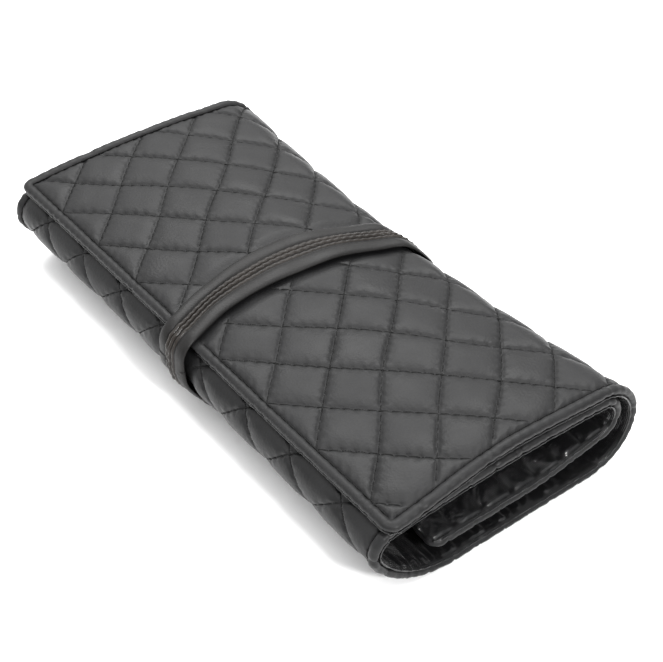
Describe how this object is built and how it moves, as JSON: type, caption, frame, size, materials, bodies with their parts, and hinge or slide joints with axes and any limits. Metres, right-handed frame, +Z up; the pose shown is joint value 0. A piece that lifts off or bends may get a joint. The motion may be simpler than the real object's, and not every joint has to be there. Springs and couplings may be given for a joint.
{
  "type": "rolled jewellery case",
  "caption": "Padded leather jewellery roll with an unrolling quilted flap, a rolled inner panel, zipped pockets, a snap ring bar and a wrap strap.",
  "frame": {"origin": "middle of the underside, on the surface that the roll lies on", "axes": "+X along the roll, -Y towards the flap's free edge and the front fold, +Z up"},
  "size_m": [0.23, 0.1204, 0.0422],
  "materials": {
    "quilted_leather": "black quilted leather, fine grain, satin",
    "strap_leather": "black folded leather strap, satin",
    "bar_leather": "soft black leather, satin",
    "lining": "glossy black satin lining",
    "wadding": "grey wadding",
    "zip_tape": "black woven zip tape",
    "nickel": "bright nickel"
  },
  "bodies": {
    "base": {"base_leather": "quilted_leather", "base_wadding": "wadding", "base_lining": "lining", "strap_base_far": "strap_leather", "strap_base_near": "strap_leather", "strap_tail": "strap_leather", "base_pocket": "lining", "base_zip_tape": "zip_tape", "base_zip_teeth": "nickel", "ring_bar": "bar_leather", "ring_bar_anchor": "bar_leather", "snap_stud": "nickel"},
    "fold_lower": {"fold_lower_leather": "quilted_leather", "fold_lower_wadding": "wadding", "fold_lower_lining": "lining", "strap_fold_lower_far": "strap_leather", "strap_fold_lower_near": "strap_leather"},
    "fold_upper": {"fold_upper_leather": "quilted_leather", "fold_upper_wadding": "wadding", "fold_upper_lining": "lining", "strap_fold_upper_far": "strap_leather", "strap_fold_upper_near": "strap_leather"},
    "flap": {"flap_leather": "quilted_leather", "flap_wadding": "wadding", "flap_lining": "lining", "strap_flap_far": "strap_leather", "strap_flap_near": "strap_leather"},
    "inner_top": {"inner_top_leather": "quilted_leather", "inner_top_wadding": "wadding", "inner_top_lining": "lining", "top_pouch": "lining", "top_pouch_elastic": "lining"},
    "inner_end": {"inner_end_leather": "quilted_leather", "inner_end_wadding": "wadding", "inner_end_lining": "lining", "end_pocket": "lining", "end_zip_tape": "zip_tape", "end_zip_teeth": "nickel"},
    "base_slider": {"base_zip_slider": "nickel"},
    "base_pull": {"base_zip_pull": "nickel"},
    "end_slider": {"end_zip_slider": "nickel"},
    "end_pull": {"end_zip_pull": "nickel"},
    "bar_tab": {"ring_bar_tab": "bar_leather", "snap_cap": "nickel"}
  },
  "joints": [
    {"name": "fold_lower_unroll", "type": "hinge", "parent": "base", "child": "fold_lower", "pos_m": [0, 0.04902, 0.00267], "axis": [-1, 0, 0], "range_deg": [0, 57]},
    {"name": "fold_upper_unroll", "type": "hinge", "parent": "fold_lower", "child": "fold_upper", "pos_m": [0, 0.059, 0.01995], "axis": [-1, 0, 0], "range_deg": [0, 57]},
    {"name": "flap_unroll", "type": "hinge", "parent": "fold_upper", "child": "flap", "pos_m": [0, 0.04902, 0.03723], "axis": [-1, 0, 0], "range_deg": [0, 57]},
    {"name": "inner_roll_lift", "type": "hinge", "parent": "base", "child": "inner_top", "pos_m": [0, -0.059, 0.02422], "axis": [1, 0, 0], "range_deg": [0, 23]},
    {"name": "inner_end_unroll", "type": "hinge", "parent": "inner_top", "child": "inner_end", "pos_m": [0, 0.0503, 0.02599], "axis": [1, 0, 0], "range_deg": [0, 9]},
    {"name": "base_zip_run", "type": "slide", "parent": "base", "child": "base_slider", "axis": [1, 0, 0], "range_m": [0, 0.185]},
    {"name": "base_pull_swing", "type": "hinge", "parent": "base_slider", "child": "base_pull", "pos_m": [-0.0907, 0.018, 0.0102], "axis": [0, -1, 0], "range_deg": [0, 18]},
    {"name": "end_zip_run", "type": "slide", "parent": "inner_end", "child": "end_slider", "axis": [1, 0, 0], "range_m": [0, 0.185]},
    {"name": "end_pull_swing", "type": "hinge", "parent": "end_slider", "child": "end_pull", "pos_m": [-0.0907, 0.02, 0.02689], "axis": [0, -1, 0], "range_deg": [0, 14]},
    {"name": "ring_tab_swing", "type": "hinge", "parent": "base", "child": "bar_tab", "pos_m": [0.0879, -0.04577, 0.01334], "axis": [0, -0.766, 0.6428], "range_deg": [0, 38]}
  ],
  "couplings": [
    {"joint": "fold_upper_unroll", "follows": "fold_lower_unroll", "ratio": 1},
    {"joint": "flap_unroll", "follows": "fold_lower_unroll", "ratio": 1},
    {"joint": "inner_roll_lift", "follows": "fold_lower_unroll", "ratio": 0.4},
    {"joint": "inner_end_unroll", "follows": "fold_lower_unroll", "ratio": 0.15}
  ]
}
